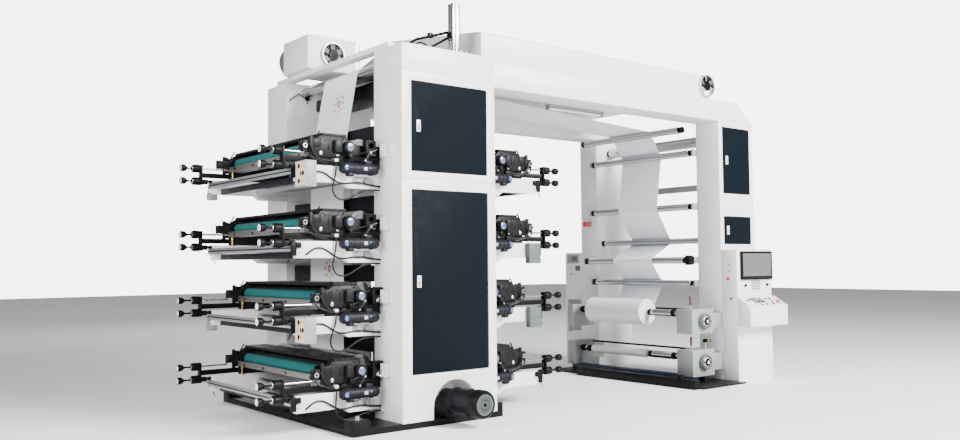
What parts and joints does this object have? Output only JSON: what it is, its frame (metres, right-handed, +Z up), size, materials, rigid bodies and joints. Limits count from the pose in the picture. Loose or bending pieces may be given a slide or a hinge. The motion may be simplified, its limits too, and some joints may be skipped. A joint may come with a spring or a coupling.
{
  "type": "stack flexographic printing press",
  "caption": "Stack-type flexographic printing press: print tower with colour decks on both sides, overhead bridge with drying hood, and a winding tower with operator console.",
  "frame": {"origin": "on the floor, at the centre of the print tower's base plate", "axes": "+X along the machine from the print tower to the winding tower, +Y from the operator's side to the rear, +Z up"},
  "size_m": [7.26, 3.582, 4.267],
  "materials": {
    "black_paint": "black satin paint",
    "anilox_ceramic": "engraved dark ceramic",
    "white_paint": "smooth semi-gloss white powder coat",
    "bare_aluminium": "extruded aluminium",
    "dark_iron": "dark painted casting",
    "roller_chrome": "ground chrome",
    "motor_paint": "dark grey motor paint",
    "teal_rubber": "teal rubber cover",
    "tray_steel": "stainless tray",
    "film_web": "white printed web",
    "cable_black": "black cable",
    "grey_paint": "light grey powder coat",
    "navy_paint": "dark blue satin paint",
    "red_plastic": "red lens"
  },
  "bodies": {
    "press": {"adjusting_screws": "black_paint", "anilox_rollers": "anilox_ceramic", "console": "white_paint", "console_desk": "white_paint", "cross_tray": "white_paint", "deck_arms": "white_paint", "deck_bars": "bare_aluminium", "deck_cheeks": "dark_iron", "deck_fittings": "dark_iron", "deck_guide_rollers": "roller_chrome", "drying_hood": "white_paint", "fan_box": "white_paint", "front_beam": "white_paint", "front_housing_lower": "white_paint", "front_housing_upper": "white_paint", "gear_motors": "motor_paint", "hood_fans": "bare_aluminium", "impression_rollers": "roller_chrome", "ink_trays": "tray_steel", "inner_panels": "dark_iron", "junction_boxes": "white_paint", "main_motor": "motor_paint", "mast": "bare_aluminium", "monitor": "black_paint", "motor_cable_1": "cable_black", "motor_cable_2": "cable_black", "motor_cable_3": "cable_black", "motor_cable_4": "cable_black", "plate_rollers": "anilox_ceramic", "rear_beam": "white_paint", "rear_cabinet": "white_paint", "rear_housing": "white_paint", "roller_plates": "grey_paint", "screw_rails": "dark_iron", "switch_boxes": "grey_paint", "tower_base": "black_paint", "tower_rollers": "roller_chrome", "tower_upper_door": "navy_paint", "warning_light": "red_plastic", "web": "film_web", "winder_base": "black_paint", "winder_blocks": "grey_paint", "winder_doors": "navy_paint", "winder_front_column": "white_paint", "winder_guide_rollers": "roller_chrome", "winder_rear_column": "white_paint"},
    "lower_door": {"tower_lower_door": "navy_paint"},
    "upper_winding_shaft": {"upper_roll": "film_web"},
    "lower_winding_shaft": {"lower_roll": "film_web"},
    "ink_roller_body_1": {"ink_roller_1": "teal_rubber"},
    "ink_roller_body_2": {"ink_roller_2": "teal_rubber"},
    "ink_roller_body_3": {"ink_roller_3": "teal_rubber"},
    "ink_roller_body_4": {"ink_roller_4": "teal_rubber"},
    "ink_roller_body_5": {"ink_roller_5": "teal_rubber"},
    "ink_roller_body_6": {"ink_roller_6": "teal_rubber"},
    "ink_roller_body_7": {"ink_roller_7": "teal_rubber"},
    "ink_roller_body_8": {"ink_roller_8": "teal_rubber"}
  },
  "joints": [
    {"name": "lower_door_hinge", "type": "hinge", "parent": "press", "child": "lower_door", "pos_m": [0.457, -1.452, 1.3955], "axis": [0, 0, 1], "range_deg": [0, 115]},
    {"name": "upper_shaft_spin", "type": "hinge", "parent": "press", "child": "upper_winding_shaft", "pos_m": [4.1, 0, 0.889], "axis": [0, 1, 0], "continuous": true},
    {"name": "lower_shaft_spin", "type": "hinge", "parent": "press", "child": "lower_winding_shaft", "pos_m": [4.1, 0, 0.33], "axis": [0, 1, 0], "continuous": true},
    {"name": "ink_roller_spin_1", "type": "hinge", "parent": "press", "child": "ink_roller_body_1", "pos_m": [-1.228, 0, 2.68], "axis": [0, 1, 0], "continuous": true},
    {"name": "ink_roller_spin_2", "type": "hinge", "parent": "press", "child": "ink_roller_body_2", "pos_m": [-1.228, 0, 1.964], "axis": [0, 1, 0], "continuous": true},
    {"name": "ink_roller_spin_3", "type": "hinge", "parent": "press", "child": "ink_roller_body_3", "pos_m": [-1.108, 0, 1.256], "axis": [0, 1, 0], "continuous": true},
    {"name": "ink_roller_spin_4", "type": "hinge", "parent": "press", "child": "ink_roller_body_4", "pos_m": [-1.108, 0, 0.544], "axis": [0, 1, 0], "continuous": true},
    {"name": "ink_roller_spin_5", "type": "hinge", "parent": "press", "child": "ink_roller_body_5", "pos_m": [1.228, 0, 2.68], "axis": [0, 1, 0], "continuous": true},
    {"name": "ink_roller_spin_6", "type": "hinge", "parent": "press", "child": "ink_roller_body_6", "pos_m": [1.228, 0, 1.964], "axis": [0, 1, 0], "continuous": true},
    {"name": "ink_roller_spin_7", "type": "hinge", "parent": "press", "child": "ink_roller_body_7", "pos_m": [1.108, 0, 1.256], "axis": [0, 1, 0], "continuous": true},
    {"name": "ink_roller_spin_8", "type": "hinge", "parent": "press", "child": "ink_roller_body_8", "pos_m": [1.108, 0, 0.544], "axis": [0, 1, 0], "continuous": true}
  ]
}
